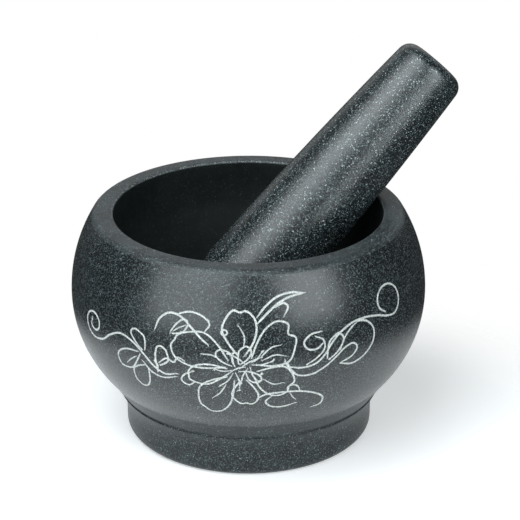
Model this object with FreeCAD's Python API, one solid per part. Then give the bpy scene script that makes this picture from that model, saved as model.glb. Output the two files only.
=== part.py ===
import FreeCAD, Part
import math
import os

# Stone mortar with a turned foot, and the loose pestle that leans in it.
#
# Frame: millimetres, +Z up. The origin is the centre of the foot's underside, on the
# axis that the mortar was turned about. The pestle leans mostly towards +X.

# Mortar, outside
MORTAR_HEIGHT = 98.3        # underside to rim
BELLY_RADIUS = 75.0         # widest part
BELLY_HEIGHT = 63.5         # level of the widest part
RIM_INSET = 10.4            # how far the rim stands in from the belly
RIM_OUTER_EDGE = 3.5        # rounding of the rim's outer edge

# Foot, and the neck between it and the belly
FOOT_HEIGHT = 19.4
FOOT_RADIUS = 52.9          # the foot's wall, below its flare
FOOT_FLARE = 3.3            # how far the top of the foot spreads from that wall
FOOT_FLARE_HEIGHT = 11.0    # height of the hollow curve that makes the flare
FOOT_TOP_EDGE = 0.3         # rounding of the foot's upper edge
FOOT_BOTTOM_EDGE = 3.5      # rounding of the edge that it stands on
NECK_STEP = 0.7             # depth of the turned line above the foot
NECK_HEIGHT = 8.6           # the neck's band, from that line to the belly
NECK_SPREAD = 6.0           # how far the neck widens on its way up

# Mortar, inside
RIM_WALL = 8.0              # stone between the mouth and the rim's outside
RIM_INNER_EDGE = 1.0        # rounding of the mouth's edge
CAVITY_DEPTH = 53.8         # rim to the lowest point inside
LIP_DEPTH = 8.0             # upright part of the inner wall

# Pestle
PESTLE_LENGTH = 143.0
HEAD_RADIUS = 20.4          # the half ball that grinds
GRIP_RADIUS = 15.25         # at the top, before its edge is rounded
SIDE_SWEEP = 2200.0         # radius of the long, slightly swollen side
GRIP_EDGE = 6.0             # rounding of the top edge
GRIP_CROWN = 0.9            # how far the top end is domed

# How the pestle stands in the mortar
LEAN = 43.8                 # degrees from upright
LEAN_DIRECTION = 19.6       # degrees from +X towards +Y
SEAT_CLEARANCE = 0.3        # left at the mouth's edge and at the cavity

rim_radius = BELLY_RADIUS - RIM_INSET
mouth_radius = rim_radius - RIM_WALL
cavity_floor = MORTAR_HEIGHT - CAVITY_DEPTH
bowl_depth = CAVITY_DEPTH - LIP_DEPTH       # the rounded part of the cavity
foot_top_radius = FOOT_RADIUS + FOOT_FLARE
neck_radius = foot_top_radius - NECK_STEP


def point(r, z):
    """A point of an outline that is turned about the Z axis."""
    return FreeCAD.Vector(r, 0, z)


def line(start, end):
    return Part.LineSegment(start, end).toShape()


def arc_about(centre, start, end):
    """The shorter arc from start to end round a centre that is as far from both."""
    middle_way = ((start - centre) + (end - centre)).normalize()
    middle = centre + middle_way * (start - centre).Length
    return Part.Arc(start, middle, end).toShape()


def arc_from_upright(start, end):
    """An arc that leaves start straight up or down and passes through end."""
    across = end.x - start.x
    up = end.z - start.z
    radius = (across ** 2 + up ** 2) / (2 * across)
    return arc_about(point(start.x + radius, start.z), start, end)


def quarter_ellipse(start, corner, end):
    """A quarter of an ellipse from start to end, inside the corner of its box."""
    curve = Part.BezierCurve()
    curve.setPoles([start, corner, end])
    curve.setWeight(2, math.sqrt(0.5))
    return curve.toShape()


def turned(edges):
    """The solid that a closed outline makes when it turns about the Z axis."""
    face = Part.Face(Part.Wire(edges))
    return face.revolve(FreeCAD.Vector(0, 0, 0), FreeCAD.Vector(0, 0, 1), 360)


def rounded(shape, edge_radius, corner):
    """Round the circular edge that the given corner of the outline made."""
    at_corner = [
        edge for edge in shape.Edges
        if not edge.Degenerated
        and isinstance(edge.Curve, Part.Circle)
        and abs(edge.Curve.Radius - corner.x) < 1e-6
        and abs(edge.Curve.Center.z - corner.z) < 1e-6
    ]
    return shape.makeFillet(edge_radius, at_corner)


def make_mortar():
    """Bowl, neck and foot, turned from one stone."""
    foot_bottom = point(FOOT_RADIUS, 0)
    flare_start = point(FOOT_RADIUS, FOOT_HEIGHT - FOOT_FLARE_HEIGHT)
    foot_top = point(foot_top_radius, FOOT_HEIGHT)
    neck_bottom = point(neck_radius, FOOT_HEIGHT)
    neck_top = point(neck_radius + NECK_SPREAD, FOOT_HEIGHT + NECK_HEIGHT)
    belly = point(BELLY_RADIUS, BELLY_HEIGHT)
    rim_outside = point(rim_radius, MORTAR_HEIGHT)
    mouth = point(mouth_radius, MORTAR_HEIGHT)
    lip = point(mouth_radius, MORTAR_HEIGHT - LIP_DEPTH)
    floor = point(0, cavity_floor)
    underside = point(0, 0)

    mortar = turned([
        line(underside, foot_bottom),
        line(foot_bottom, flare_start),
        arc_from_upright(flare_start, foot_top),
        line(foot_top, neck_bottom),
        line(neck_bottom, neck_top),
        arc_from_upright(belly, neck_top),
        arc_from_upright(belly, rim_outside),
        line(rim_outside, mouth),
        line(mouth, lip),
        quarter_ellipse(lip, point(mouth_radius, cavity_floor), floor),
        line(floor, underside),
    ])
    mortar = rounded(mortar, FOOT_BOTTOM_EDGE, foot_bottom)
    mortar = rounded(mortar, FOOT_TOP_EDGE, foot_top)
    mortar = rounded(mortar, RIM_OUTER_EDGE, rim_outside)
    return rounded(mortar, RIM_INNER_EDGE, mouth)


def grip_corner():
    """Where the pestle's side meets its top end, measured from the head's centre."""
    return point(GRIP_RADIUS, PESTLE_LENGTH - HEAD_RADIUS - GRIP_CROWN)


def side_centre():
    """Centre of the arc of the pestle's side, measured from the head's centre.

    The arc runs on smoothly from the half ball, so its centre is SIDE_SWEEP less
    HEAD_RADIUS from the head's centre, and SIDE_SWEEP from the grip's corner.
    """
    corner = grip_corner()
    span = corner.Length
    along = ((SIDE_SWEEP - HEAD_RADIUS) ** 2 - SIDE_SWEEP ** 2 + span ** 2) / (2 * span)
    off = math.sqrt((SIDE_SWEEP - HEAD_RADIUS) ** 2 - along ** 2)
    way = corner / span
    return way * along + point(-way.z, way.x) * off


def upright_pestle():
    """The pestle standing on its head, with the head's centre at the origin."""
    centre = side_centre()
    tip = point(0, -HEAD_RADIUS)
    side_start = centre * (1 - SIDE_SWEEP / centre.Length)
    corner = grip_corner()
    crown = point(0, PESTLE_LENGTH - HEAD_RADIUS)
    crown_radius = (GRIP_RADIUS ** 2 + GRIP_CROWN ** 2) / (2 * GRIP_CROWN)

    pestle = turned([
        arc_about(point(0, 0), tip, side_start),
        arc_about(centre, side_start, corner),
        arc_about(point(0, crown.z - crown_radius), corner, crown),
        line(crown, tip),
    ])
    return rounded(pestle, GRIP_EDGE, corner)


def head_seat():
    """Centre of the head, in the plane that the pestle leans in.

    The head follows the rounded cavity at SEAT_CLEARANCE, from its far side (low) to
    its near side (high), until the side of the shaft is as far from the mouth's edge.
    """
    lean = math.radians(LEAN)
    shaft_way = point(math.sin(lean), math.cos(lean))
    under_way = point(math.cos(lean), -math.sin(lean))
    side = side_centre()
    edge_centre = point(mouth_radius + RIM_INNER_EDGE, MORTAR_HEIGHT - RIM_INNER_EDGE)

    def head_at(turn):
        on_wall = point(mouth_radius * math.sin(turn),
                        cavity_floor + bowl_depth * (1 - math.cos(turn)))
        inwards = point(-bowl_depth * math.sin(turn), mouth_radius * math.cos(turn))
        return on_wall + inwards.normalize() * (HEAD_RADIUS + SEAT_CLEARANCE)

    def gap_at_mouth(turn):
        centre = head_at(turn) + shaft_way * side.z + under_way * side.x
        return (edge_centre - centre).Length - SIDE_SWEEP - RIM_INNER_EDGE

    low, high = -math.pi / 2, math.pi / 2
    for _ in range(60):
        middle = (low + high) / 2
        if gap_at_mouth(middle) > SEAT_CLEARANCE:
            low = middle
        else:
            high = middle
    return head_at(low)


def make_pestle():
    """The pestle, leaning on the mouth's edge with its head in the cavity."""
    pestle = upright_pestle()
    pestle.rotate(FreeCAD.Vector(0, 0, 0), FreeCAD.Vector(0, 1, 0), LEAN)
    pestle.translate(head_seat())
    pestle.rotate(FreeCAD.Vector(0, 0, 0), FreeCAD.Vector(0, 0, 1), LEAN_DIRECTION)
    return pestle


os.makedirs("parts", exist_ok=True)
make_mortar().exportStep("parts/mortar.step")
make_pestle().exportStep("parts/pestle.step")
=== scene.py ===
"""A dark granite mortar, turned and polished, with a hand-engraved spray and its loose pestle.

Lengths in the classes are in millimetres. Finished meshes are in metres, +Z up, standing
on the floor at z = 0 with the engraving towards -Y.
"""

from __future__ import annotations

import logging
import math
from dataclasses import dataclass, field
from enum import IntEnum
from typing import Any, Sequence

import bpy
import numpy as np
from mathutils import Matrix, Vector, kdtree, noise
from mathutils.geometry import delaunay_2d_cdt

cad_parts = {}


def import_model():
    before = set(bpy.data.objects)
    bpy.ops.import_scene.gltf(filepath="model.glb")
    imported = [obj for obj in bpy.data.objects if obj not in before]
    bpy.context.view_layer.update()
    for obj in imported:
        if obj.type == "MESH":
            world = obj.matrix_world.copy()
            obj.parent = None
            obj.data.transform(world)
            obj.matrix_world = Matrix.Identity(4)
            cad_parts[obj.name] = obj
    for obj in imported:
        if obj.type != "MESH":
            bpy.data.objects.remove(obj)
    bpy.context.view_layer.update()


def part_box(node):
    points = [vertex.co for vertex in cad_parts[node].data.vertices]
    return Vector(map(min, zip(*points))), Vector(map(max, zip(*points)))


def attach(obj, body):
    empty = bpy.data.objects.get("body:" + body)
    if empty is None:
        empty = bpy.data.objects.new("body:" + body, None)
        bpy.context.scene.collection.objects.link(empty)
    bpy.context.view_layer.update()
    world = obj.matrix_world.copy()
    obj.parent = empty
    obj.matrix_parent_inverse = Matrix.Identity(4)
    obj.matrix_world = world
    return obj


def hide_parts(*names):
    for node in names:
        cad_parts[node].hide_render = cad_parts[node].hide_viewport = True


LOG = logging.getLogger("mortar")
MM = 0.001

Point = tuple[float, float]
Tree = bpy.types.NodeTree
Socket = bpy.types.NodeSocket


# -------- small tools


def to_linear(colour: str) -> tuple[float, float, float, float]:
    """Turn an sRGB hex colour into the linear values that a shader socket takes.

    Args:
        colour: Six hex digits after a hash, such as "#2B3033".

    Returns:
        Red, green, blue and alpha, linear.
    """
    channels = [int(colour[i:i + 2], 16) / 255 for i in (1, 3, 5)]
    linear = [c / 12.92 if c <= 0.04045 else ((c + 0.055) / 1.055) ** 2.4 for c in channels]
    return linear[0], linear[1], linear[2], 1.0


def per_mm(length_mm: float) -> float:
    """Scale of a pattern in Object coordinates whose features are this far apart."""
    return 1.0 / (length_mm * MM)


def add_node(tree: Tree, kind: str, inputs: dict[Any, Any] | None = None,
             **settings: Any) -> bpy.types.Node:
    """Add a node, set it up and wire it.

    Args:
        tree: The tree that the node goes in.
        kind: The node's type name.
        inputs: Socket name or number to a value or the socket that feeds it.
        **settings: The node's own properties.

    Returns:
        The new node.
    """
    node = tree.nodes.new(kind)
    for name, value in settings.items():
        setattr(node, name, value)
    for key, value in (inputs or {}).items():
        if isinstance(value, Socket):
            tree.links.new(value, node.inputs[key])
        else:
            node.inputs[key].default_value = value
    return node


def calculate(tree: Tree, operation: str, first: Any, second: Any = 0.0) -> Socket:
    """Work out a sum of one or two numbers."""
    return add_node(tree, "ShaderNodeMath", {0: first, 1: second}, operation=operation).outputs[0]


def times(tree: Tree, first: Any, *others: Any) -> Socket:
    """Multiply numbers together."""
    for other in others:
        first = calculate(tree, "MULTIPLY", first, other)
    return first


def split(tree: Tree, vector: Socket) -> Any:
    """Split a vector into its X, Y and Z."""
    return add_node(tree, "ShaderNodeSeparateXYZ", {0: vector}).outputs


def ease(tree: Tree, value: Any, low: float, high: float) -> Socket:
    """Ease a value from 0 at one level to 1 at another."""
    return add_node(tree, "ShaderNodeMapRange", {"Value": value, "From Min": low, "From Max": high},
                    interpolation_type="SMOOTHSTEP").outputs[0]


def mix(tree: Tree, share: Socket, first: Any, second: Any, kind: str = "RGBA") -> Socket:
    """Mix two colours, or two numbers when the kind is FLOAT, by the share of the second."""
    at = {"FLOAT": 2, "RGBA": 6}[kind]
    node = add_node(tree, "ShaderNodeMix", {"Factor": share, at: first, at + 1: second}, data_type=kind)
    return next(socket for socket in node.outputs if socket.enabled)


def empty_tree(owner: Any) -> Tree:
    """Give a material or a world an empty node tree."""
    owner.use_nodes = True
    owner.node_tree.nodes.clear()
    return owner.node_tree


def new_object(name: str, data: Any) -> bpy.types.Object:
    """Make an object and put it in the scene."""
    thing = bpy.data.objects.new(name, data)
    bpy.context.scene.collection.objects.link(thing)
    return thing


def bearing(offset: Sequence[float]) -> float:
    """Angle of a flat vector from the first axis, in radians."""
    return math.atan2(offset[1], offset[0])


def distances(line: np.ndarray) -> np.ndarray:
    """Distance along a line of each of its points from the first."""
    return np.concatenate([[0.0], np.cumsum(np.linalg.norm(np.diff(line, axis=0), axis=1))])


def points_at(line: np.ndarray, along: np.ndarray, where: np.ndarray) -> np.ndarray:
    """Points of a line at new places, where along holds the places of its own points."""
    return np.column_stack([np.interp(where, along, column) for column in line.T])


def to_the_left(line: np.ndarray) -> np.ndarray:
    """Unit vectors to the left of a line, one at each of its points."""
    way = np.gradient(line, axis=0)
    way /= np.linalg.norm(way, axis=1)[:, None]
    return np.column_stack([-way[:, 1], way[:, 0]])


def index_points(points: Sequence[Sequence[float]]) -> kdtree.KDTree:
    """Index flat points, so that the near ones are found quickly."""
    index = kdtree.KDTree(len(points))
    for i, point in enumerate(points):
        index.insert((point[0], point[1], 0), i)
    index.balance()
    return index


def between(t: np.ndarray, low: float, high: float, first: np.ndarray, second: np.ndarray) -> np.ndarray:
    """Go evenly from one point, where t is low, to another, where t is high."""
    return (high - t) / (high - low) * first + (t - low) / (high - low) * second


def smooth_path(points: Sequence[Point], step: float, fineness: int = 24) -> np.ndarray:
    """Run a smooth line through given points.

    Args:
        points: The points, in order.
        step: Distance between the points of the result.
        fineness: Points between two placed ones, before they are spaced evenly.

    Returns:
        Evenly spaced points, one row each.
    """
    p = np.array(points, float)
    p = np.vstack([2 * p[0] - p[1], p, 2 * p[-1] - p[-2]])
    knots = np.concatenate([[0.0], np.cumsum(np.sqrt(np.linalg.norm(np.diff(p, axis=0), axis=1)))])
    pieces = []
    for i in range(1, len(p) - 2):
        t0, t1, t2, t3 = knots[i - 1:i + 3]
        t = np.linspace(t1, t2, fineness, endpoint=False)[:, None]
        a1, a2, a3 = (between(t, knots[k], knots[k + 1], p[k], p[k + 1]) for k in (i - 1, i, i + 1))
        b1, b2 = between(t, t0, t2, a1, a2), between(t, t1, t3, a2, a3)
        pieces.append(between(t, t1, t2, b1, b2))
    fine = np.vstack(pieces + [p[-2:-1]])
    along = distances(fine)
    return points_at(fine, along, np.linspace(0, along[-1], max(3, round(along[-1] / step) + 1)))


# -------- outlines


class Finish(IntEnum):
    """How a stretch of the stone was worked."""

    POLISHED = 0
    HONED = 1
    # The bowl's ground hollow, whose material is painted dark as painted shade.
    GROUND_IN_PAINTED_SHADE = 2
    FOOT = 3


@dataclass
class Run:
    """One stretch of an outline, drawn finely, and the number of mesh rows it gets."""

    points: np.ndarray
    finish: Finish
    rows: int


class OutlinePen:
    """Draws the outline of a turned piece, from the axis below round to the axis again.

    The stone is on the left of the line, so that a rounded corner's centre is too.
    """

    FINE = 1600
    CORNER_ROWS = 3

    def __init__(self, start: Point) -> None:
        """Start at a point (radius, height)."""
        self.start = start
        self.runs: list[Run] = []

    @property
    def end(self) -> np.ndarray:
        """The last point drawn."""
        return self.runs[-1].points[-1] if self.runs else np.array(self.start, float)

    def _add(self, run: Run, corner: float, edge: Finish | None = None) -> None:
        """Join a run, first rounding the corner that it makes with the last one."""
        if corner:
            last = self.runs[-1]
            near, far = (line + corner * to_the_left(line) for line in (last.points, run.points))
            gaps = np.linalg.norm(near[:, None] - far[None], axis=2)
            i, j = np.unravel_index(gaps.argmin(), gaps.shape)
            centre = (near[i] + far[j]) / 2
            begin, stop = bearing(last.points[i] - centre), bearing(run.points[j] - centre)
            turns = np.linspace(begin, begin + (stop - begin) % math.tau, self.FINE)
            bend = centre + corner * np.column_stack([np.cos(turns), np.sin(turns)])
            last.points, run.points = last.points[:i], run.points[j + 1:]
            finish = last.finish if edge is None else edge
            self.runs.append(Run(bend, finish, self.CORNER_ROWS + round(corner)))
        self.runs.append(run)

    def line(self, to: Point, finish: Finish, rows: int, corner: float = 0.0,
             edge: Finish | None = None) -> None:
        """Draw straight to a point, with the corner left behind rounded and given a finish."""
        share = np.linspace(0, 1, self.FINE)[:, None]
        self._add(Run(self.end * (1 - share) + np.array(to, float) * share, finish, rows), corner, edge)

    def arc(self, centre: Point, to: Point, finish: Finish, rows: int, corner: float = 0.0) -> None:
        """Draw the shorter arc about a centre to a point, with the corner rounded."""
        middle = np.array(centre, float)
        begin, stop = bearing(self.end - middle), bearing(np.array(to, float) - middle)
        sweep = (stop - begin + math.pi) % math.tau - math.pi
        turns = begin + sweep * np.linspace(0, 1, self.FINE)
        radius = float(np.linalg.norm(self.end - middle))
        points = middle + radius * np.column_stack([np.cos(turns), np.sin(turns)])
        self._add(Run(points, finish, rows), corner)

    def quarter_ellipse(self, to: Point, finish: Finish, rows: int) -> None:
        """Draw a quarter of an ellipse, from straight down to level."""
        turns = np.linspace(0, math.pi / 2, self.FINE)
        (r0, z0), (r1, z1) = self.end, to
        points = np.column_stack([r1 + (r0 - r1) * np.cos(turns), z0 + (z1 - z0) * np.sin(turns)])
        self._add(Run(points, finish, rows), 0.0)

    def rows(self) -> tuple[np.ndarray, list[Finish]]:
        """Space the mesh rows evenly along each run.

        Returns:
            The rows' points, and the finish of the band between each row and the next.
        """
        points, finishes = [np.array([self.start], float)], []
        for run in self.runs:
            line = np.vstack([points[-1][-1:], run.points])
            along = distances(line)
            points.append(points_at(line, along, np.linspace(0, along[-1], run.rows + 1)[1:]))
            finishes += [run.finish] * run.rows
        return np.vstack(points), finishes


def upright_centre(upright: Point, other: Point) -> Point:
    """Centre of the arc that stands upright at one point and passes through another."""
    across, up = other[0] - upright[0], other[1] - upright[1]
    return upright[0] + (across ** 2 + up ** 2) / (2 * across), upright[1]


# -------- the engraved spray


@dataclass(frozen=True)
class Stroke:
    """One cut line, as given points on the unrolled belly.

    Attributes:
        points: Across from the middle of the front, and up from the belly's widest level.
        width: Width of the cut at its middle.
        taper: Share of the width that is left at the two ends.
    """

    points: tuple[Point, ...]
    width: float = 1.05
    taper: float = 0.55


def turned_about(points: Sequence[Point], base: Point, degrees: float) -> tuple[Point, ...]:
    """Turn points about the origin and move them to a base."""
    c, s = math.cos(math.radians(degrees)), math.sin(math.radians(degrees))
    return tuple((base[0] + x * c - y * s, base[1] + x * s + y * c) for x, y in points)


def petal(base: Point, degrees: float, length: float, width: float, lean: float = 0.0,
          line: float = 1.05, notch: float = 0.0) -> Stroke:
    """A petal's outline, drawn in one stroke from its base round and back.

    Args:
        base: Where the petal leaves the blossom's middle.
        degrees: The way it points.
        length: Base to tip.
        width: Across its widest part.
        lean: How far its tip is pushed to one side.
        line: Width of the cut.
        notch: Share of the length that its tip is dented by.

    Returns:
        The stroke.
    """
    outline = ((0.05, -0.26), (0.30, -0.78), (0.58, -1.04), (0.82, -0.84), (0.98, -0.40), (1 - notch, -0.04),
               (1.02, 0.34), (0.88, 0.80), (0.62, 1.0), (0.32, 0.70), (0.04, 0.22))
    # Only the tip leans: the part past 0.7 of the length.
    shape = [(along * length, across * width / 2 + (lean if along > 0.7 else 0)) for along, across in outline]
    return Stroke(turned_about(shape, base, degrees), line, 0.7)


def curl(centre: Point, outer: float, inner: float, start: float, turns: float,
         squash: float = 0.9) -> tuple[Point, ...]:
    """Points of a tendril's curl, winding in from its outside.

    Args:
        centre: Middle of the curl.
        outer: Radius where it starts.
        inner: Radius where it ends.
        start: The side it starts on, in degrees.
        turns: Number of turns, negative for clockwise.
        squash: Its height as a share of its width.

    Returns:
        The points, eight to a turn.
    """
    count = max(4, round(abs(turns) * 8))
    result = []
    for i in range(count + 1):
        share = i / count
        radius = outer + (inner - outer) * share
        angle = math.radians(start) + math.tau * turns * share
        result.append((centre[0] + radius * math.cos(angle), centre[1] + squash * radius * math.sin(angle)))
    return tuple(result)


@dataclass(frozen=True)
class Spray:
    """A blossom with a scroll of leaves and tendrils to each side, cut by hand."""

    heart: Point = (-2.0, -2.5)
    left_of_heart: Point = (-4.6, -3.4)
    right_of_heart: Point = (0.4, -1.2)

    def blossom(self) -> list[Stroke]:
        """Petals, the folds round the heart, veins and stamens."""
        x, y = self.heart
        petals_and_folds = [petal((x + across, y + up), *shape) for across, up, *shape in (
            (-5.5, 1.6, 158, 23.5, 15.5, 1.0),
            (-5.0, -1.2, 194, 17.0, 9.0, -0.5),
            (-4.0, -4.2, 234, 21.0, 14.5, 0.8),
            (0.6, -5.0, 274, 13.0, 10.5, 0.3, 1.05, 0.05),
            (4.6, -2.4, 338, 16.5, 14.0, -0.8, 1.05, 0.05),
            (4.0, 2.8, 35, 20.0, 16.5, 1.2, 1.05, 0.10),
            (-0.2, 5.2, 96, 18.6, 13.5, -0.8, 1.2, 0.04),
            (-3.6, 1.2, 132, 8.6, 5.0, 0.4, 0.95),
            (-1.2, 2.0, 66, 8.0, 4.6, -0.3, 0.95),
            (1.6, -1.4, 318, 7.0, 4.2, 0.2, 0.95),
        )]
        veins = [Stroke(turned_about(points, self.heart, 0), 0.8, 0.3) for points in (
            ((-7.4, 2.6), (-11.6, 5.2), (-16.4, 5.4)),
            ((6.8, 4.6), (11.4, 8.8), (15.0, 9.6)),
            ((8.0, 3.6), (12.8, 5.6), (17.2, 4.8)),
            ((-6.4, -7.4), (-9.0, -12.0), (-12.6, -15.4)),
            ((0.4, 8.6), (0.8, 13.4), (-1.2, 17.4)),
            ((8.2, -5.0), (12.6, -7.6), (16.2, -7.2)),
        )]
        stamens = []
        for k, (angle, reach) in enumerate((
                (12, 9.5), (28, 11.5), (50, 8.0), (96, 7.5), (150, 9.6), (176, 8.6),
                (204, 7.4), (228, 9.8), (252, 8.8), (276, 9.6), (300, 8.2), (346, 9.8))):
            side, bend = (self.left_of_heart, 0.9) if k % 2 else (self.right_of_heart, -0.7)
            path = turned_about([(1.6, 0.0), (reach * 0.55, bend), (reach, bend * 0.4)], side, angle)
            tip = path[-1]
            stamens += [Stroke(path, 0.85, 0.35), Stroke((tip, (tip[0] + 0.4, tip[1] + 0.3)), 1.15, 0.9)]
        return petals_and_folds + veins + stamens

    def left_scroll(self) -> list[Stroke]:
        """The vine, leaves and tendril to the left."""
        tendril = curl((-73.6, 1.8), 6.9, 1.9, 262, -1.28)
        return [
            Stroke(((-29, -7.6), (-34, -8.8), (-39, -6.4), (-44, -1.8), (-50, 2.2), (-56, 3.4),
                    (-62, 0.8), (-67.5, -3.2)) + tendril, 1.25, 0.6),
            Stroke(((-29.5, -9.2), (-35, -10.8), (-40, -9.6), (-44.2, -5.6)), 1),
            petal((-43.4, -0.6), 118, 9.6, 5.4, 0.9),
            petal((-46, -2.4), 214, 13.2, 8.2, -0.6),
            petal((-42.4, -7.2), 238, 11.4, 8.4, 0.6),
            Stroke(((-47.6, -4.2), (-50.6, -6.4), (-53, -8.8)), 0.8, 0.4),
            petal((-37.2, -5.4), 66, 8.6, 6.2, 0.8, 1.15),
            Stroke(((-36.6, -4.2), (-33, -1.4), (-29.8, -2.6), (-28.2, 0), (-25.2, -1.2)), 1),
            Stroke(((-38.6, -3.4), (-37.4, -5.6), (-37.6, -7.8)), 1.9, 0.7),
            Stroke(((-22.4, -5.6), (-25.6, -7.4), (-27, -10.4), (-24, -12.2), (-21.2, -10.2)), 1),
            Stroke(((-38.4, 10.2), (-36.6, 14.8), (-32.4, 17.8), (-27.4, 17), (-22.6, 13.2), (-18.6, 9.4),
                    (-15.6, 7)), 1.25, 0.5),
            Stroke(((-29.4, 17.6), (-24, 19.4), (-18.6, 18.4), (-15.2, 15.4), (-17, 12.2)), 1.1, 0.5),
            petal((-31.4, 9.8), 36, 8.8, 4.2, 0.3, 1),
            Stroke(((-30.2, 10.8), (-27.6, 12.6), (-25.2, 13.8)), 0.7, 0.4),
        ]

    def right_scroll(self) -> list[Stroke]:
        """The vine, leaves and tendril to the right."""
        tendril = curl((64.8, 14.8), 8.6, 5.2, -58, 0.84)
        return [
            Stroke(((15.2, -0.6), (16.2, -2.2), (17, -3.8)), 2, 0.8),
            Stroke(((16.6, -2.6), (22, -3.6), (27.6, -2.6), (31.6, 0.8), (34.4, 4.8), (38.6, 8.6),
                    (44.4, 11.2), (51, 11.6), (58, 10.4), (64, 8.4)) + tendril, 1.25, 0.5),
            Stroke(((17.2, -3.6), (19.8, -6.6), (25.4, -7.4), (31, -5.2), (36.2, -1.6), (40.4, 1.6),
                    (44.6, 2.6), (46.4, 0.2), (44, -2.8), (38.8, -4.6)), 1.1, 0.6),
            Stroke(((38.8, -5), (44, -6.4), (50.4, -4.2), (54.8, 0.6), (55, 6.2), (51.2, 10.2),
                    (46.8, 11.2)), 1.15, 0.6),
            Stroke(((38.2, 1.2), (40.2, 5.6), (43.6, 9.2), (46.6, 10.8)), 0.95, 0.5),
            petal((32.8, -1.8), 62, 11.2, 5.8, -0.6, 1.1),
            Stroke(((30, 10.6), (25.6, 10), (22.6, 7.2), (24, 4.2), (27.8, 3.6), (30.6, 5.6)), 1.2, 0.6),
            Stroke(((27.4, 9), (30.8, 7), (31.2, 3.2), (28.2, 0), (23.6, -2.6)), 0.95, 0.6),
            Stroke(((3.8, 18.6), (7.6, 23), (12.6, 26.4), (18.4, 27.6), (24.4, 26.8)), 1.25, 0.35),
            Stroke(((3.4, 15.6), (8.4, 20.4), (13.4, 24.2), (19, 26.2), (24.4, 26.8)), 1.25, 0.35),
            Stroke(((11.6, 22.2), (14.8, 23.8), (16.8, 22.4), (15, 18.8)), 1.3, 0.3),
            Stroke(((3.6, -17.8), (7, -15.4), (13.6, -14.6), (21, -15), (28, -17.2), (32.6, -20.8),
                    (32.2, -24.8), (28.2, -26)), 1.25, 0.3),
            Stroke(((9.8, -16.4), (7.4, -19.2), (9.6, -22.2), (15, -23), (20.6, -21.4)), 1.15, 0.3),
            Stroke(((16.8, -14.8), (16.2, -12.4), (18, -11.2), (20.4, -12.2), (21.4, -14.6)), 0.95, 0.6),
            Stroke(((17.4, -15.4), (18.6, -17.6), (20.4, -19.6)), 0.8, 0.4),
        ]

    def strokes(self) -> list[Stroke]:
        """Every stroke of the spray, with the small ring above the blossom last."""
        ring = Stroke(curl((-9.2, 12.4), 1.25, 1.25, 0, 1.0), 1.1, 0.9)
        return self.blossom() + self.left_scroll() + self.right_scroll() + [ring]


@dataclass
class Engraving:
    """The spray as cuts in the stone: where each is deep, and where its edge is bruised.

    The tool cuts a share of each stroke's width, which wobbles by a share of itself and narrows
    over the last ends_mm. A cut is measured from `finer` points for each of its own, no farther
    off than reach_mm. side_share places mesh lines between a cut's bottom and its rims.
    """

    spray: Spray = field(default_factory=Spray)
    step_mm: float = 0.85
    bruise_mm: float = 0.22
    tool: float = 0.54
    wobble: float = 0.13
    wobbles_per_mm: float = 0.9
    ends_mm: float = 3.0
    finer: int = 5
    reach_mm: float = 1.5
    side_share: float = 0.55

    def __post_init__(self) -> None:
        """Follow every stroke once, and index the points for measuring."""
        self.lines: list[tuple[np.ndarray, np.ndarray]] = []
        for number, stroke in enumerate(self.spray.strokes()):
            path = smooth_path(stroke.points, self.step_mm)
            share = np.linspace(0, 1, len(path))
            body = np.clip(np.minimum(share, 1 - share) * len(path) * self.step_mm / self.ends_mm, 0, 1)
            half = stroke.width / 2 * self.tool * (stroke.taper + (1 - stroke.taper) * body)
            pace = self.wobbles_per_mm
            half *= [1 + self.wobble * noise.noise(Vector((x * pace, y * pace, number))) for x, y in path]
            self.lines.append((path, half))
        self.samples = np.vstack([
            points_at(np.column_stack([path, half]), np.arange(len(path)),
                      np.linspace(0, len(path) - 1, len(path) * self.finer))
            for path, half in self.lines])
        self.near = index_points(self.samples)

    @property
    def corners(self) -> tuple[float, float, float, float]:
        """Left, right, bottom and top of the whole spray."""
        low, high = self.samples.min(0), self.samples.max(0)
        return low[0], high[0], low[1], high[1]

    def measure(self, x: float, y: float) -> tuple[float, float]:
        """How the stone is worked at a point of the unrolled belly.

        Returns:
            Depth from 0 at the polished face to 1 at the bottom of a cut, and frost from
            0 on polished stone to 1 inside a cut.
        """
        depth, frost = 0.0, 0.0
        for _, i, distance in self.near.find_range((x, y, 0), self.reach_mm):
            half = self.samples[i, 2]
            depth = max(depth, 1 - (distance / half) ** 2)
            frost = max(frost, 1 - (distance - half) / self.bruise_mm)
        return depth, min(frost, 1.0)

    def guides(self) -> tuple[list[Point], list[tuple[int, int]]]:
        """Points and edges that the mesh has to follow: each cut's bottom, sides and rims."""
        points: list[Point] = []
        edges: list[tuple[int, int]] = []
        for path, half in self.lines:
            side, rim = to_the_left(path), half + self.bruise_mm
            inner = half * self.side_share
            for offset in (half * 0, inner, -inner, half, -half, rim, -rim):
                line = path + side * offset[:, None]
                first = len(points)
                points += [tuple(p) for p in line]
                edges += [(first + k, first + k + 1) for k in range(len(line) - 1)]
        return points, edges


# -------- flat sheets


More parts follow.
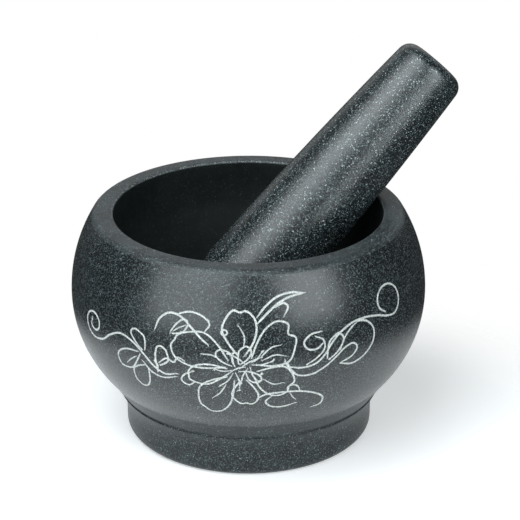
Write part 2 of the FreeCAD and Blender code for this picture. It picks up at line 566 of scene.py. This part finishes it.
class FlatSheet:
    """A turned piece's skin, unrolled: across is the way round, up is the way along the outline.

    MARGIN is the stone round the cuts that has the finer mesh, CLEARANCE the least distance from
    a cut's lines to the other points there, and SAME how close two points are one.
    """

    MARGIN = 1.6
    CLEARANCE = 0.9
    SAME = 1e-4

    def __init__(self, rows: np.ndarray, finishes: list[Finish], columns: int, radius: float) -> None:
        """Lay out the rows and columns.

        Args:
            rows: The outline's points, one for each row of the mesh.
            finishes: The finish of each band between two rows.
            columns: Faces round the piece.
            radius: The radius at which the sheet's width is true.
        """
        self.rows, self.radius = rows, radius
        self.along = distances(rows)
        self.across = np.linspace(-math.pi * radius, math.pi * radius, columns + 1)
        self.finishes = finishes
        self.points: list[Point] = []
        self.faces: list[tuple[int, ...]] = []
        self.face_finish: list[int] = []
        self.depth: list[float] = []
        self.frost: list[float] = []

    def plain(self, hole: tuple[int, int, int, int] | None = None) -> None:
        """Fill the sheet with four-sided faces, leaving out a rectangle of columns and rows."""
        wide = len(self.across)
        self.points += [(u, v) for v in self.along for u in self.across]
        self.depth += [0.0] * len(self.points)
        self.frost += [0.0] * len(self.points)
        for j, finish in enumerate(self.finishes):
            for i in range(wide - 1):
                if hole and hole[0] <= i < hole[1] and hole[2] <= j < hole[3]:
                    continue
                a = j * wide + i
                self.faces.append((a, a + 1, a + wide + 1, a + wide))
                self.face_finish.append(int(finish))

    def engraved(self, engraving: Engraving, level: float) -> None:
        """Fill the whole sheet, with a finer mesh that follows the cuts where they are.

        Args:
            engraving: The cuts, measured across and up from a point of the sheet.
            level: Where along the outline that point is.
        """
        left, right, low, high = engraving.corners
        i0, i1 = self._around(self.across, left, right)
        j0, j1 = self._around(self.along, level + low, level + high)
        self.plain((i0, i1, j0, j1))
        across, along = self.across[i0:i1 + 1], self.along[j0:j1 + 1] - level
        guides, edges = engraving.guides()
        taken = index_points(guides)
        frame = [(x, along[0]) for x in across] + [(across[-1], y) for y in along[1:]]
        frame += [(x, along[-1]) for x in across[-2::-1]] + [(across[0], y) for y in along[-2:0:-1]]
        first = len(guides)
        edges += [(first + k, first + (k + 1) % len(frame)) for k in range(len(frame))]
        inside = [(x, y) for y in along[1:-1] for x in across[1:-1]
                  if taken.find((x, y, 0))[2] > self.CLEARANCE]
        points = [Vector(p) for p in guides + frame + inside]
        found, _, faces, *_ = delaunay_2d_cdt(points, edges, [], 0, self.SAME)
        base = len(self.points)
        for x, y in found:
            depth, frost = engraving.measure(x, y)
            self.points.append((x, y + level))
            self.depth.append(depth)
            self.frost.append(frost)
        self.faces += [tuple(base + k for k in face) for face in faces]
        self.face_finish += [int(Finish.POLISHED)] * len(faces)
        LOG.info("engraved part of the sheet: %d faces", len(faces))

    def _around(self, places: np.ndarray, low: float, high: float) -> tuple[int, int]:
        """Numbers of the places just outside a stretch and its margin."""
        first, last = np.searchsorted(places, (low - self.MARGIN, high + self.MARGIN))
        return int(first) - 1, int(last)

    def worn(self, edge: Point, reach: float, wear: float) -> None:
        """Bruise the stone along a turned edge.

        Args:
            edge: The edge's place on the outline.
            reach: How far from it the stone is worn.
            wear: Its frost, from 0 to 1.
        """
        wide = len(self.across)
        for j in np.flatnonzero(np.linalg.norm(self.rows - edge, axis=1) < reach):
            self.frost[j * wide:(j + 1) * wide] = [wear] * wide

    def mesh(self, name: str) -> bpy.types.Mesh:
        """Make the sheet a Blender mesh, in metres, with what the tree and the finishes read."""
        used = sorted({k for face in self.faces for k in face})
        new_number = {k: i for i, k in enumerate(used)}
        mesh = bpy.data.meshes.new(name)
        mesh.from_pydata([(self.points[k][0] * MM, self.points[k][1] * MM, 0.0) for k in used], [],
                         [tuple(new_number[k] for k in face) for face in self.faces])
        for label, kind, domain, values in (("cut", "FLOAT", "POINT", [self.depth[k] for k in used]),
                                            ("frost", "FLOAT", "POINT", [self.frost[k] for k in used]),
                                            ("finish", "INT", "FACE", self.face_finish)):
            mesh.attributes.new(label, kind, domain).data.foreach_set("value", values)
        return mesh


# -------- the turning tree


class TurnedStone:
    """Geometry Nodes that roll a flat sheet round an outline and press the cuts into it.

    SEAM is how close points are joined where the sheet closes on itself.
    """

    INPUTS = {"Object": ("Outline",),
              "Float": ("Unroll Radius", "Cut Depth", "Hand Waviness", "Wave Length", "Seed"),
              "Material": ("Polished", "Honed", "Ground", "Foot")}
    SEAM = 0.008 * MM

    def __init__(self) -> None:
        """Build the tree."""
        self.tree = bpy.data.node_groups.new("turned stone", "GeometryNodeTree")
        self.sockets: dict[str, str] = {}
        face = self.tree.interface
        face.new_socket("Geometry", in_out="OUTPUT", socket_type="NodeSocketGeometry")
        face.new_socket("Geometry", in_out="INPUT", socket_type="NodeSocketGeometry")
        for kind, names in self.INPUTS.items():
            for name in names:
                item = face.new_socket(name, in_out="INPUT", socket_type="NodeSocket" + kind)
                self.sockets[name] = item.identifier
        self._nodes()

    def _nodes(self) -> None:
        """Wire the tree."""
        tree = self.tree
        given = add_node(tree, "NodeGroupInput").outputs
        place = split(tree, add_node(tree, "GeometryNodeInputPosition").outputs[0])
        outline = add_node(tree, "GeometryNodeObjectInfo", {"Object": given["Outline"]}).outputs["Geometry"]
        at = add_node(tree, "GeometryNodeSampleCurve", {"Curves": outline, "Length": place["Y"]},
                      mode="LENGTH").outputs
        spot, way = split(tree, at["Position"]), split(tree, at["Tangent"])
        angle = calculate(tree, "DIVIDE", place["X"], given["Unroll Radius"])
        skin = self._round(spot["X"], spot["Z"], angle)
        wave = add_node(tree, "ShaderNodeTexNoise", {
            "Vector": skin, "W": given["Seed"], "Detail": 1.0,
            "Scale": calculate(tree, "DIVIDE", 1.0, given["Wave Length"])}, noise_dimensions="4D").outputs[0]
        uneven = times(tree, calculate(tree, "SUBTRACT", wave, 0.5), given["Hand Waviness"])
        cut = add_node(tree, "GeometryNodeInputNamedAttribute", {"Name": "cut"}, data_type="FLOAT").outputs[0]
        inward = calculate(tree, "ADD", times(tree, cut, given["Cut Depth"]), uneven)
        radius = calculate(tree, "SUBTRACT", spot["X"], times(tree, way["Z"], inward))
        height = calculate(tree, "ADD", spot["Z"], times(tree, way["X"], inward))
        last = given["Geometry"]
        for kind, inputs in (("GeometryNodeSetPosition", {"Position": self._round(radius, height, angle)}),
                             ("GeometryNodeMergeByDistance", {"Distance": self.SEAM}),
                             ("GeometryNodeSetShadeSmooth", {}),
                             ("GeometryNodeRealizeInstances", {})):
            last = add_node(tree, kind, {"Geometry": last, **inputs}).outputs[0]
        finish = add_node(tree, "GeometryNodeInputNamedAttribute", {"Name": "finish"},
                          data_type="INT").outputs[0]
        for value, name in enumerate(self.INPUTS["Material"]):
            chosen = add_node(tree, "FunctionNodeCompare", {2: finish, 3: value}, data_type="INT",
                              operation="EQUAL").outputs[0]
            last = add_node(tree, "GeometryNodeSetMaterial", {"Geometry": last, "Selection": chosen,
                                                              "Material": given[name]}).outputs[0]
        add_node(tree, "NodeGroupOutput", {"Geometry": last})

    def _round(self, radius: Socket, height: Socket, angle: Socket) -> Socket:
        """Place a radius and a height at an angle round the axis, from -Y towards +X."""
        tree = self.tree
        across = times(tree, radius, calculate(tree, "SINE", angle))
        back = times(tree, radius, calculate(tree, "COSINE", angle), -1.0)
        return add_node(tree, "ShaderNodeCombineXYZ", {0: across, 1: back, 2: height}).outputs[0]

    def turn(self, name: str, sheet: FlatSheet, sizes: dict[str, float], seed: float,
             finishes: Sequence[bpy.types.Material]) -> bpy.types.Object:
        """Roll a sheet into a finished plain mesh.

        Args:
            name: The finished piece's name.
            sheet: The flat sheet.
            sizes: The tree's other sizes, in mm.
            seed: The waviness's seed.
            finishes: The materials, polished, honed, ground and foot.

        Returns:
            The piece, in the scene, with nothing live on it.
        """
        curve = bpy.data.curves.new(name + "_outline", "CURVE")
        curve.dimensions = "3D"
        spline = curve.splines.new("POLY")
        spline.points.add(len(sheet.rows) - 1)
        for point, (radius, height) in zip(spline.points, sheet.rows):
            point.co = (radius * MM, 0.0, height * MM, 1.0)
        guide = new_object(name + "_outline", curve)
        flat = new_object(name + "_flat", sheet.mesh(name + "_flat"))
        for material in dict.fromkeys(finishes):
            flat.data.materials.append(material)
        modifier = flat.modifiers.new("turned stone", "NODES")
        modifier.node_group = self.tree
        values = {"Outline": guide, "Seed": seed, "Unroll Radius": sheet.radius * MM,
                  **{label: size * MM for label, size in sizes.items()},
                  **dict(zip(self.INPUTS["Material"], finishes))}
        for label, value in values.items():
            modifier[self.sockets[label]] = value
        graph = bpy.context.evaluated_depsgraph_get()
        mesh = bpy.data.meshes.new_from_object(flat.evaluated_get(graph), preserve_all_data_layers=True,
                                               depsgraph=graph)
        flat.modifiers.remove(modifier)
        for thing in (flat, guide):
            bpy.data.objects.remove(thing)
        mesh.name = name
        return new_object(name, mesh)


# -------- finishes


@dataclass(frozen=True)
class Granite:
    """Fine-grained dark granite, as one of its worked surfaces.

    The ground drifts towards its cloud colour over drift_mm. Flecks are pale feldspar, fleck_mm
    apart, and sparks are the few brightest grains: their shares are of the surface and of the
    larger grains. A specular of 0.5 is all the gloss that the IOR gives. Bumps are heights.
    rings_mm is the distance between turning rings, or 0 for none. Powder is bruised stone, pale
    on its crumbs, with painted shade in its hollows. grain_tilt keeps the grain's layers from
    lining up with a side.
    """

    name: str
    ground: str = "#171B1C"
    cloud: str = "#1E2324"
    fleck: str = "#4D575A"
    spark: str = "#818D90"
    drift_mm: float = 14.0
    fleck_mm: float = 0.52
    fleck_share: float = 0.55
    spark_share: float = 0.28
    roughness: float = 0.3
    specular: float = 0.5
    grain_bump_mm: float = 0.045
    rings_mm: float = 0.0
    rings_bump_mm: float = 0.05
    # Two tones: the first is painted shade in the hollows of the crumbs, the second the pale crumbs.
    powder_and_shade: tuple[str, str] = ("#9AA09F", "#E4E6E2")
    powder_mm: float = 0.45
    powder_bump_mm: float = 0.12
    grain_tilt: tuple[float, float, float] = (-0.6155, 0.7854, 0.0)

    def material(self) -> bpy.types.Material:
        """Build the material: dark ground, pale flecks, a few bright grains, and frost where it is cut."""
        material = bpy.data.materials.new(self.name)
        tree = empty_tree(material)
        upright = add_node(tree, "ShaderNodeTexCoord").outputs["Object"]
        place = add_node(tree, "ShaderNodeMapping", {"Vector": upright,
                                                     "Rotation": self.grain_tilt}).outputs[0]
        drift = self._noise(tree, place, self.drift_mm, detail=4.0)[0]
        colour = mix(tree, ease(tree, drift, 0.4, 0.62), to_linear(self.ground), to_linear(self.cloud))
        ragged = self._noise(tree, place, self.fleck_mm * 0.7, detail=3.0)[0]
        flecks = self._grains(tree, place, ragged, self.fleck_mm, self.fleck_share, size=0.9)
        colour = mix(tree, flecks, colour, to_linear(self.fleck))
        sparks = self._grains(tree, place, ragged, self.fleck_mm * 1.3, self.spark_share, size=0.74)
        colour = mix(tree, sparks, colour, to_linear(self.spark))
        rough = mix(tree, flecks, self.roughness * 0.84, self.roughness * 1.5, "FLOAT")
        colour, rough, height = self._frosted(tree, place, colour, rough)
        height = calculate(tree, "ADD", height, times(tree, ragged, self.grain_bump_mm * MM))
        if self.rings_mm:
            # At a scale of 1, a wave texture has about 3.18 rings to a unit of length.
            rings = add_node(tree, "ShaderNodeTexWave", {
                "Vector": upright, "Scale": per_mm(self.rings_mm) / 3.18, "Distortion": 1.2, "Detail": 2.0,
                "Detail Scale": 0.6}, wave_type="RINGS", rings_direction="Z").outputs["Fac"]
            height = calculate(tree, "ADD", height, times(tree, rings, self.rings_bump_mm * MM))
        bump = add_node(tree, "ShaderNodeBump", {"Height": height, "Distance": 1.0, "Strength": 1.0})
        shader = add_node(tree, "ShaderNodeBsdfPrincipled", {
            "Base Color": colour, "Roughness": rough, "IOR": 1.55, "Specular IOR Level": self.specular,
            "Normal": bump.outputs[0]})
        add_node(tree, "ShaderNodeOutputMaterial", {"Surface": shader.outputs[0]})
        return material

    @staticmethod
    def _noise(tree: Tree, place: Socket, size_mm: float, detail: float, rough: float = 0.5) -> Any:
        """Add noise with features of a size, and give its outputs."""
        return add_node(tree, "ShaderNodeTexNoise", {"Vector": place, "Scale": per_mm(size_mm),
                                                     "Detail": detail, "Roughness": rough}).outputs

    def _grains(self, tree: Tree, place: Socket, ragged: Socket, apart_mm: float, share: float,
                size: float) -> Socket:
        """Pick some of the cells of a stirred pattern as grains: 1 inside a grain, 0 outside."""
        stir = self._noise(tree, place, apart_mm * 1.1, detail=1.0)["Color"]
        shift = add_node(tree, "ShaderNodeVectorMath", {0: stir, 1: (0.5,) * 3}, operation="SUBTRACT")
        moved = add_node(tree, "ShaderNodeVectorMath", {
            0: shift.outputs[0], 1: (apart_mm * MM * 1.6,) * 3, 2: place}, operation="MULTIPLY_ADD").outputs[0]
        cells = add_node(tree, "ShaderNodeTexVoronoi", {"Vector": moved, "Scale": per_mm(apart_mm)})
        chance = add_node(tree, "ShaderNodeSeparateColor", {0: cells.outputs["Color"]}).outputs[0]
        away = calculate(tree, "ADD", cells.outputs["Distance"], ragged)
        near = ease(tree, away, size + 0.14, size - 0.14)
        return times(tree, near, ease(tree, chance, 1.0 - share, 1.08 - share))

    def _frosted(self, tree: Tree, place: Socket, colour: Socket, rough: Socket) -> tuple[Socket, ...]:
        """Bruise the stone pale where it is cut, with painted shade in the hollows of its crumbs.

        Returns:
            Colour, roughness and height of the surface, in metres.
        """
        frost = add_node(tree, "ShaderNodeAttribute", attribute_name="frost").outputs["Fac"]
        crumbs = self._noise(tree, place, self.powder_mm, detail=3.0, rough=0.7)[0]
        edge = calculate(tree, "ADD", frost, times(tree, crumbs, 1.4))
        bruised = ease(tree, edge, 1.12, 1.56)
        # The darker tone goes where the crumbs are low: painted shade in their hollows.
        shaded_powder, crumb = (to_linear(tone) for tone in self.powder_and_shade)
        powder_and_shade = mix(tree, ease(tree, crumbs, 0.36, 0.66), shaded_powder, crumb)
        height = times(tree, crumbs, bruised, self.powder_bump_mm * MM)
        return mix(tree, bruised, colour, powder_and_shade), mix(tree, bruised, rough, 0.9, "FLOAT"), height


# Granite ground with fine abrasives and buffed: near black, its flecks under a clear gloss.
POLISHED = Granite("polished dark granite")
# The same stone left off the buffing wheel: matt, so its grain looks paler.
HONED = Granite("honed dark granite", cloud="#262D2F", fleck="#5A6568", spark="#8E9A9D", roughness=0.5,
                grain_bump_mm=0.07)
# The foot is buffed less than the belly, so it mirrors little of the floor beside it.
FOOT = Granite("half-polished granite foot", fleck="#4C5659", roughness=0.42, specular=0.22,
               grain_bump_mm=0.04)
# Granite left from the grinding bit: rough to grip the food, with faint rings.
# Its colours are painted darker than the stone's own, as painted shade inside the bowl.
GROUND_IN_PAINTED_SHADE = Granite("ground granite bowl in painted shade", ground="#0B0F0F", cloud="#101514", fleck="#192020", spark="#313A3A",
                 roughness=0.6, specular=0.2, grain_bump_mm=0.06, rings_mm=2.6)
# The pestle's stone is a little coarser and more polished.
PESTLE_STONE = Granite("polished pestle granite", ground="#161B1C", cloud="#1F2526", fleck="#515D60",
                       spark="#AAB6B8", fleck_mm=0.6, spark_share=0.36, roughness=0.25,
                       specular=0.62, grain_bump_mm=0.11)


# -------- the pieces


@dataclass
class Mortar:
    """The footed bowl: one turned block of granite with the spray cut in its front."""

    height: float = 98.3
    belly_radius: float = 75.0
    belly_height: float = 63.5
    mouth_radius: float = 56.6
    rim_radius: float = 64.6
    rim_outer_edge: float = 3.5
    rim_inner_edge: float = 1.0
    lip_depth: float = 8.0
    cavity_floor: float = 44.5
    foot_radius: float = 52.9
    foot_top_radius: float = 56.2
    foot_wall: float = 8.4
    foot_height: float = 19.4
    foot_bottom_edge: float = 3.5
    foot_top_edge: float = 0.3
    ledge: float = 0.7
    neck_radius: float = 61.5
    neck_height: float = 28.0
    columns: int = 192
    cut_depth: float = 0.24
    rim_wear: float = 0.44
    rim_wear_reach: float = 0.7
    foot_wear: float = 0.36
    foot_wear_reach: float = 0.9
    waviness: float = 0.09
    wave_length: float = 26.0
    seed: float = 3.0

    def outline(self) -> OutlinePen:
        """Draw half of the section, from the middle of the underside to the cavity's floor."""
        belly = (self.belly_radius, self.belly_height)
        neck, rim = (self.neck_radius, self.neck_height), (self.rim_radius, self.height)
        foot_top = (self.foot_top_radius, self.foot_height)
        pen = OutlinePen((0.0, 0.0))
        pen.line((self.foot_radius, 0.0), Finish.HONED, 9)
        pen.line((self.foot_radius, self.foot_wall), Finish.FOOT, 3, self.foot_bottom_edge, Finish.FOOT)
        pen.arc(upright_centre((self.foot_radius, self.foot_wall), foot_top), foot_top, Finish.FOOT, 7)
        pen.line((self.foot_top_radius - self.ledge, self.foot_height), Finish.HONED, 1, self.foot_top_edge)
        pen.line(neck, Finish.FOOT, 5)
        pen.arc(upright_centre(belly, neck), belly, Finish.POLISHED, 16)
        pen.arc(upright_centre(belly, rim), rim, Finish.POLISHED, 14)
        pen.line((self.mouth_radius, self.height), Finish.HONED, 3, self.rim_outer_edge, Finish.HONED)
        # The hollow's walls take the material that is painted dark as painted shade.
        pen.line((self.mouth_radius, self.height - self.lip_depth), Finish.GROUND_IN_PAINTED_SHADE, 4, self.rim_inner_edge)
        pen.quarter_ellipse((0.0, self.cavity_floor), Finish.GROUND_IN_PAINTED_SHADE, 34)
        return pen

    def build(self, stone: TurnedStone, engraving: Engraving) -> bpy.types.Object:
        """Turn the mortar with a turning tree and cut the spray in it."""
        rows, finishes = self.outline().rows()
        sheet = FlatSheet(rows, finishes, self.columns, self.belly_radius)
        widest = np.abs(rows - (self.belly_radius, self.belly_height)).sum(1).argmin()
        sheet.engraved(engraving, sheet.along[widest])
        # A rounded edge lies about a third of its radius in from where its corner would be.
        inner, bottom = self.rim_inner_edge * 0.4, self.foot_bottom_edge * 0.3
        sheet.worn((self.mouth_radius + inner, self.height - inner), self.rim_wear_reach, self.rim_wear)
        sheet.worn((self.foot_radius - bottom, bottom), self.foot_wear_reach, self.foot_wear)
        sizes = {"Cut Depth": self.cut_depth, "Hand Waviness": self.waviness, "Wave Length": self.wave_length}
        materials = [finish.material() for finish in (POLISHED, HONED, GROUND_IN_PAINTED_SHADE, FOOT)]
        return stone.turn("mortar_stone", sheet, sizes, self.seed, materials)


@dataclass
class Pestle:
    """The loose pestle: a ball end for grinding and a slim body up to a blunt grip."""

    length: float = 143.0
    head_radius: float = 20.4
    grip_radius: float = 15.25
    side_sweep: float = 2200.0
    grip_edge: float = 6.0
    grip_crown: float = 0.9
    lean: float = 43.8
    lean_direction: float = 19.6
    columns: int = 96
    waviness: float = 0.12
    wave_length: float = 18.0
    seed: float = 8.0

    def outline(self) -> OutlinePen:
        """Draw half of the section about the ball's middle, from the ball up to the crown."""
        corner = (self.grip_radius, self.length - self.head_radius - self.grip_crown)
        centre = self.side_centre(corner)
        join = tuple(-np.array(centre) / np.linalg.norm(centre) * self.head_radius)
        crown_radius = (self.grip_radius ** 2 + self.grip_crown ** 2) / (2 * self.grip_crown)
        top = corner[1] + self.grip_crown
        pen = OutlinePen((0.0, -self.head_radius))
        pen.arc((0.0, 0.0), join, Finish.POLISHED, 26)
        pen.arc(centre, corner, Finish.POLISHED, 30)
        pen.arc((0.0, top - crown_radius), (0.0, top), Finish.POLISHED, 8, self.grip_edge)
        return pen

    def side_centre(self, corner: Point) -> Point:
        """Centre of the long arc that leaves the ball smoothly and ends at the grip's corner."""
        reach = self.side_sweep - self.head_radius
        across, up = corner
        apart = math.hypot(across, up)
        along = (reach ** 2 + apart ** 2 - self.side_sweep ** 2) / (2 * apart)
        off = math.sqrt(reach ** 2 - along ** 2)
        unit = (across / apart, up / apart)
        return unit[0] * along - unit[1] * off, unit[1] * along + unit[0] * off

    def build(self, stone: TurnedStone, seat: Vector) -> bpy.types.Object:
        """Turn the pestle and lean it where it rests, with the ball's middle at its seat."""
        rows, finishes = self.outline().rows()
        sheet = FlatSheet(rows, finishes, self.columns, self.head_radius)
        sheet.plain()
        sizes = {"Cut Depth": 0.0, "Hand Waviness": self.waviness, "Wave Length": self.wave_length}
        piece = stone.turn("pestle_stone", sheet, sizes, self.seed, [PESTLE_STONE.material()] * 4)
        turn = Matrix.Rotation(math.radians(self.lean_direction), 4, "Z")
        tip = Matrix.Rotation(math.radians(self.lean), 4, "Y")
        piece.data.transform(Matrix.Translation(seat) @ turn @ tip)
        return piece


# -------- the room


@dataclass(frozen=True)
class Softbox:
    """A soft light aimed at the middle of the belly, from a distance in mm.

    Azimuth is degrees from -Y towards +X, and elevation degrees above the floor. Width and height
    are in mm, and brightness is radiance, where 1 is white.
    """

    name: str
    azimuth: float
    elevation: float
    distance: float
    width: float
    height: float
    brightness: float
    colour: str = "#F4FCFF"

    def build(self, aim: Vector) -> None:
        """Hang the light."""
        lamp = bpy.data.lights.new(self.name, "AREA")
        lamp.shape = "RECTANGLE"
        lamp.size, lamp.size_y = self.width * MM, self.height * MM
        lamp.energy = self.brightness * math.pi * lamp.size * lamp.size_y
        lamp.color = to_linear(self.colour)[:3]
        light = new_object(self.name, lamp)
        a, e = math.radians(self.azimuth), math.radians(self.elevation)
        way = Vector((math.sin(a) * math.cos(e), -math.cos(a) * math.cos(e), math.sin(e)))
        light.location = aim + way * self.distance * MM
        light.rotation_euler = way.to_track_quat("Z", "Y").to_euler()
        light.visible_camera = False


@dataclass
class Studio:
    """A pale floor that fades out, a dark room with a grey back wall and four soft lights.

    The wall begins and is full where a direction's Y and Z pass the two pairs of limits.
    """

    floor_colour: str = "#F4F4F4"
    floor_glow: float = 0.29
    floor_radius: float = 205.0
    fade_start: float = 125.0
    floor_middle: tuple[float, float, float] = (0.0, -55.0, -0.05)
    floor_sides: int = 96
    wall_y: Point = (0.55, 0.8)
    wall_z: Point = (-0.02, 0.12)
    room_glow: float = 0.04
    wall_glow: float = 0.6
    aim: tuple[float, float, float] = (0.0, 0.0, 60.0)
    lights: tuple[Softbox, ...] = (
        Softbox("left softbox", -38.0, 20.0, 900.0, 820.0, 880.0, 3.0),
        Softbox("high left softbox", -40.0, 56.0, 900.0, 720.0, 320.0, 3.6),
        Softbox("right softbox", 40.0, 24.5, 900.0, 560.0, 760.0, 4.6),
        Softbox("top softbox", -70.0, 70.0, 800.0, 620.0, 520.0, 2.8),
    )

    def build(self) -> None:
        """Make the floor, the room and the lights."""
        self._floor()
        self._world()
        for light in self.lights:
            light.build(Vector(self.aim) * MM)
        bpy.context.scene.view_settings.view_transform = "Standard"

    def _floor(self) -> None:
        """Lay a round floor of matt white board."""
        turns = np.linspace(0, math.tau, self.floor_sides, endpoint=False)
        ring = Vector(self.floor_middle) * MM
        edge = [ring + Vector((math.cos(t), math.sin(t), 0.0)) * self.floor_radius * MM for t in turns]
        mesh = bpy.data.meshes.new("floor")
        mesh.from_pydata(edge, [], [tuple(range(len(edge)))])
        floor = new_object("floor", mesh)
        material = bpy.data.materials.new("matt white board")
        tree = empty_tree(material)
        place = add_node(tree, "ShaderNodeTexCoord").outputs["Object"]
        away = add_node(tree, "ShaderNodeVectorMath", {0: place, 1: ring},
                        operation="DISTANCE").outputs["Value"]
        gone = ease(tree, away, self.fade_start * MM, self.floor_radius * MM)
        board = add_node(tree, "ShaderNodeBsdfPrincipled", {"Base Color": to_linear(self.floor_colour),
                                                            "Roughness": 0.8, "Emission Color": (1, 1, 1, 1),
                                                            "Emission Strength": self.floor_glow})
        clear = add_node(tree, "ShaderNodeBsdfTransparent")
        mixed = add_node(tree, "ShaderNodeMixShader", {0: gone, 1: board.outputs[0], 2: clear.outputs[0]})
        add_node(tree, "ShaderNodeOutputMaterial", {"Surface": mixed.outputs[0]})
        mesh.materials.append(material)

    def _world(self) -> None:
        """White behind the stone as it is looked at, and a dark room in front for it to reflect."""
        world = bpy.data.worlds.new("studio")
        bpy.context.scene.world = world
        tree = empty_tree(world)
        way = split(tree, add_node(tree, "ShaderNodeTexCoord").outputs["Generated"])
        behind, above = (
            add_node(tree, "ShaderNodeMapRange", {"Value": part, "From Min": low, "From Max": high}).outputs[0]
            for part, (low, high) in ((way["Y"], self.wall_y), (way["Z"], self.wall_z)))
        glow = add_node(tree, "ShaderNodeMapRange", {"Value": times(tree, behind, above), "To Min": self.room_glow,
                                                     "To Max": self.wall_glow}).outputs[0]
        room, plain = (
            add_node(tree, "ShaderNodeBackground", {"Color": (1, 1, 1, 1), "Strength": strength}).outputs[0]
            for strength in (glow, 1.0))
        seen = add_node(tree, "ShaderNodeLightPath").outputs["Is Camera Ray"]
        mixed = add_node(tree, "ShaderNodeMixShader", {0: seen, 1: room, 2: plain})
        add_node(tree, "ShaderNodeOutputWorld", {"Surface": mixed.outputs[0]})


@dataclass
class Camera:
    """The view that the mortar is shown from."""

    place: tuple[float, float, float] = (4.9, -749.7, 400.8)
    pitch_down: float = 0.41022
    lens: float = 133.66

    def build(self) -> None:
        """Set up the camera."""
        data = bpy.data.cameras.new("camera")
        data.lens, data.sensor_width = self.lens, 36.0
        camera = new_object("camera", data)
        camera.location = Vector(self.place) * MM
        camera.rotation_euler = (math.pi / 2 - self.pitch_down, 0.0, 0.0)
        bpy.context.scene.camera = camera


def main() -> None:
    """Build the pieces in order and say what was made."""
    logging.basicConfig(level=logging.INFO, format="%(name)s: %(message)s")
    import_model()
    stone = TurnedStone()
    mortar, pestle = Mortar(), Pestle()
    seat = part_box("pestle")[0] + Vector((pestle.head_radius,) * 3) * MM
    pieces = [(mortar.build(stone, Engraving()), "mortar", "mortar_stone"),
              (pestle.build(stone, seat), "pestle", "pestle_stone")]
    for piece, body, slot in pieces:
        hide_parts(body)
        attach(piece, body)
        LOG.info("%s: %d faces", piece.name, len(piece.data.polygons))
    Studio().build()
    Camera().build()


if __name__ == "__main__":
    main()
